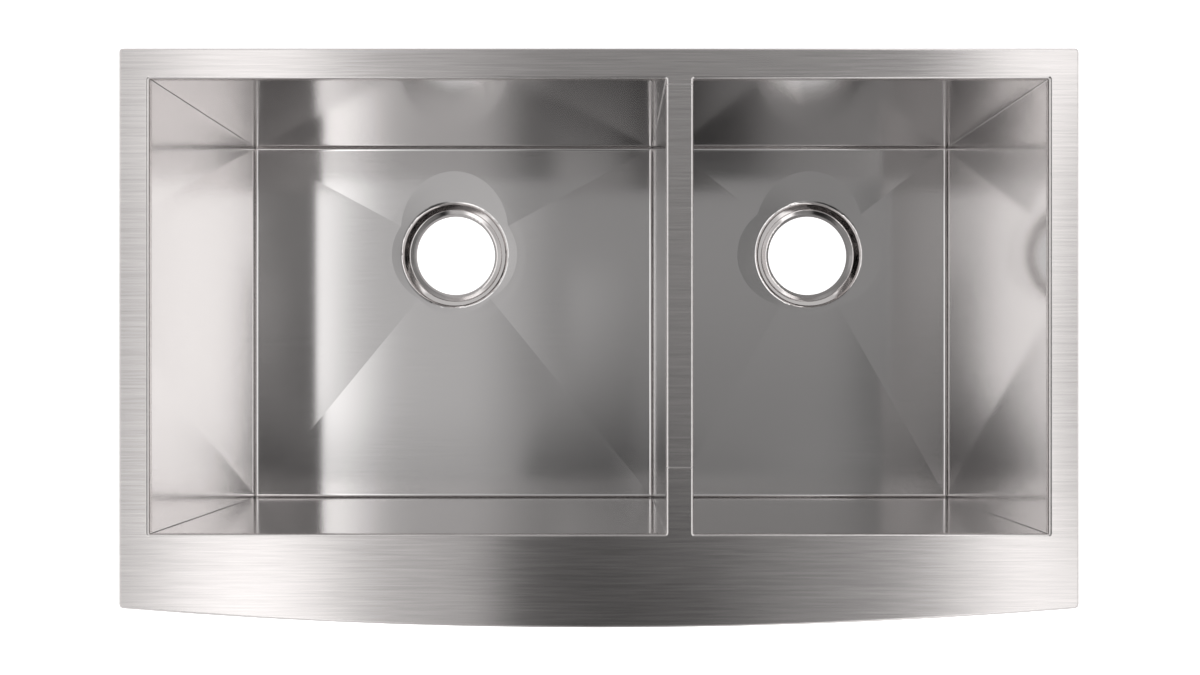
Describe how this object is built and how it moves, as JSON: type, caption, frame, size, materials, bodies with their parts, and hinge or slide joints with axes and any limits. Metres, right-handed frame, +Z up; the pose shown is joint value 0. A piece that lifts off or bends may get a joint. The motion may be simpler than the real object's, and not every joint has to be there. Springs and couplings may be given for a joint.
{
  "type": "kitchen sink",
  "caption": "Farmhouse apron front kitchen sink: a large and a small square bowl under a flat rim with a bowed front, with drain recesses and hold-down clips.",
  "frame": {"origin": "middle of the footprint on the level that the apron's lower edge and the drain ledges stand on", "axes": "+X to the right along the width, the apron faces -Y, +Z up"},
  "size_m": [0.838, 0.506, 0.254],
  "materials": {
    "brushed_deck": "brushed along the width",
    "satin_bowl": "satin, with a grey sprayed undercoat outside",
    "bracket_steel": "mill finish",
    "zinc_hardware": "zinc plated",
    "sound_rubber": "matte rubber sheet",
    "foam_seal": "closed-cell foam"
  },
  "bodies": {
    "sink": {"deck_frame": "brushed_deck", "divider_bridge": "brushed_deck", "divider_tie_channel": "bracket_steel", "apron_panel": "brushed_deck", "front_deck_stiffener": "bracket_steel", "apron_sound_pads": "sound_rubber", "rim_seal": "foam_seal", "large_bowl": "satin_bowl", "small_bowl": "satin_bowl", "apron_brace_left": "bracket_steel", "apron_brace_middle": "bracket_steel", "apron_brace_right": "bracket_steel", "clip_rail_left": "bracket_steel", "clip_rail_right": "bracket_steel", "clip_rail_back": "bracket_steel", "large_bowl_floor_pad": "sound_rubber", "large_bowl_left_pad": "sound_rubber", "large_bowl_back_pad": "sound_rubber", "small_bowl_floor_pad": "sound_rubber", "small_bowl_right_pad": "sound_rubber", "small_bowl_back_pad": "sound_rubber"},
    "clip_bolt_left_front": {"clip_bolt_left_front": "zinc_hardware"},
    "clip_washer_left_front": {"clip_washer_left_front": "zinc_hardware"},
    "clip_claw_left_front": {"clip_claw_left_front": "zinc_hardware"},
    "clip_nut_left_front": {"clip_nut_left_front": "zinc_hardware"},
    "clip_bolt_left_back": {"clip_bolt_left_back": "zinc_hardware"},
    "clip_washer_left_back": {"clip_washer_left_back": "zinc_hardware"},
    "clip_claw_left_back": {"clip_claw_left_back": "zinc_hardware"},
    "clip_nut_left_back": {"clip_nut_left_back": "zinc_hardware"},
    "clip_bolt_back_left": {"clip_bolt_back_left": "zinc_hardware"},
    "clip_washer_back_left": {"clip_washer_back_left": "zinc_hardware"},
    "clip_claw_back_left": {"clip_claw_back_left": "zinc_hardware"},
    "clip_nut_back_left": {"clip_nut_back_left": "zinc_hardware"},
    "clip_bolt_back_right": {"clip_bolt_back_right": "zinc_hardware"},
    "clip_washer_back_right": {"clip_washer_back_right": "zinc_hardware"},
    "clip_claw_back_right": {"clip_claw_back_right": "zinc_hardware"},
    "clip_nut_back_right": {"clip_nut_back_right": "zinc_hardware"},
    "clip_bolt_right_front": {"clip_bolt_right_front": "zinc_hardware"},
    "clip_washer_right_front": {"clip_washer_right_front": "zinc_hardware"},
    "clip_claw_right_front": {"clip_claw_right_front": "zinc_hardware"},
    "clip_nut_right_front": {"clip_nut_right_front": "zinc_hardware"},
    "clip_bolt_right_back": {"clip_bolt_right_back": "zinc_hardware"},
    "clip_washer_right_back": {"clip_washer_right_back": "zinc_hardware"},
    "clip_claw_right_back": {"clip_claw_right_back": "zinc_hardware"},
    "clip_nut_right_back": {"clip_nut_right_back": "zinc_hardware"}
  },
  "joints": [
    {"name": "slide_left_front", "type": "slide", "parent": "sink", "child": "clip_bolt_left_front", "axis": [0, 1, 0], "range_m": [0, 0.12]},
    {"name": "lift_left_front", "type": "slide", "parent": "clip_bolt_left_front", "child": "clip_washer_left_front", "axis": [0, 0, 1], "range_m": [0, 0.0254]},
    {"name": "swing_left_front", "type": "hinge", "parent": "clip_washer_left_front", "child": "clip_claw_left_front", "pos_m": [-0.4022, -0.132, 0.192], "axis": [0, 0, 1], "range_deg": [0, 90]},
    {"name": "nut_left_front", "type": "hinge", "parent": "clip_washer_left_front", "child": "clip_nut_left_front", "pos_m": [-0.4022, -0.132, 0.185], "axis": [0, 0, 1], "range_deg": [0, 7200]},
    {"name": "slide_left_back", "type": "slide", "parent": "sink", "child": "clip_bolt_left_back", "axis": [0, -1, 0], "range_m": [0, 0.12]},
    {"name": "lift_left_back", "type": "slide", "parent": "clip_bolt_left_back", "child": "clip_washer_left_back", "axis": [0, 0, 1], "range_m": [0, 0.0254]},
    {"name": "swing_left_back", "type": "hinge", "parent": "clip_washer_left_back", "child": "clip_claw_left_back", "pos_m": [-0.4022, 0.187, 0.192], "axis": [0, 0, -1], "range_deg": [0, 90]},
    {"name": "nut_left_back", "type": "hinge", "parent": "clip_washer_left_back", "child": "clip_nut_left_back", "pos_m": [-0.4022, 0.187, 0.185], "axis": [0, 0, 1], "range_deg": [0, 7200]},
    {"name": "slide_back_left", "type": "slide", "parent": "sink", "child": "clip_bolt_back_left", "axis": [1, 0, 0], "range_m": [0, 0.16]},
    {"name": "lift_back_left", "type": "slide", "parent": "clip_bolt_back_left", "child": "clip_washer_back_left", "axis": [0, 0, 1], "range_m": [0, 0.0254]},
    {"name": "swing_back_left", "type": "hinge", "parent": "clip_washer_back_left", "child": "clip_claw_back_left", "pos_m": [-0.25, 0.2357, 0.192], "axis": [0, 0, 1], "range_deg": [0, 90]},
    {"name": "nut_back_left", "type": "hinge", "parent": "clip_washer_back_left", "child": "clip_nut_back_left", "pos_m": [-0.25, 0.2357, 0.185], "axis": [0, 0, 1], "range_deg": [0, 7200]},
    {"name": "slide_back_right", "type": "slide", "parent": "sink", "child": "clip_bolt_back_right", "axis": [-1, 0, 0], "range_m": [0, 0.16]},
    {"name": "lift_back_right", "type": "slide", "parent": "clip_bolt_back_right", "child": "clip_washer_back_right", "axis": [0, 0, 1], "range_m": [0, 0.0254]},
    {"name": "swing_back_right", "type": "hinge", "parent": "clip_washer_back_right", "child": "clip_claw_back_right", "pos_m": [0.25, 0.2357, 0.192], "axis": [0, 0, -1], "range_deg": [0, 90]},
    {"name": "nut_back_right", "type": "hinge", "parent": "clip_washer_back_right", "child": "clip_nut_back_right", "pos_m": [0.25, 0.2357, 0.185], "axis": [0, 0, 1], "range_deg": [0, 7200]},
    {"name": "slide_right_front", "type": "slide", "parent": "sink", "child": "clip_bolt_right_front", "axis": [0, 1, 0], "range_m": [0, 0.12]},
    {"name": "lift_right_front", "type": "slide", "parent": "clip_bolt_right_front", "child": "clip_washer_right_front", "axis": [0, 0, 1], "range_m": [0, 0.0254]},
    {"name": "swing_right_front", "type": "hinge", "parent": "clip_washer_right_front", "child": "clip_claw_right_front", "pos_m": [0.4022, -0.132, 0.192], "axis": [0, 0, -1], "range_deg": [0, 90]},
    {"name": "nut_right_front", "type": "hinge", "parent": "clip_washer_right_front", "child": "clip_nut_right_front", "pos_m": [0.4022, -0.132, 0.185], "axis": [0, 0, 1], "range_deg": [0, 7200]},
    {"name": "slide_right_back", "type": "slide", "parent": "sink", "child": "clip_bolt_right_back", "axis": [0, -1, 0], "range_m": [0, 0.12]},
    {"name": "lift_right_back", "type": "slide", "parent": "clip_bolt_right_back", "child": "clip_washer_right_back", "axis": [0, 0, 1], "range_m": [0, 0.0254]},
    {"name": "swing_right_back", "type": "hinge", "parent": "clip_washer_right_back", "child": "clip_claw_right_back", "pos_m": [0.4022, 0.187, 0.192], "axis": [0, 0, 1], "range_deg": [0, 90]},
    {"name": "nut_right_back", "type": "hinge", "parent": "clip_washer_right_back", "child": "clip_nut_right_back", "pos_m": [0.4022, 0.187, 0.185], "axis": [0, 0, 1], "range_deg": [0, 7200]}
  ],
  "couplings": [
    {"joint": "nut_left_front", "follows": "lift_left_front", "rad_per_m": 4947.4},
    {"joint": "nut_left_back", "follows": "lift_left_back", "rad_per_m": 4947.4},
    {"joint": "nut_back_left", "follows": "lift_back_left", "rad_per_m": 4947.4},
    {"joint": "nut_back_right", "follows": "lift_back_right", "rad_per_m": 4947.4},
    {"joint": "nut_right_front", "follows": "lift_right_front", "rad_per_m": 4947.4},
    {"joint": "nut_right_back", "follows": "lift_right_back", "rad_per_m": 4947.4}
  ]
}
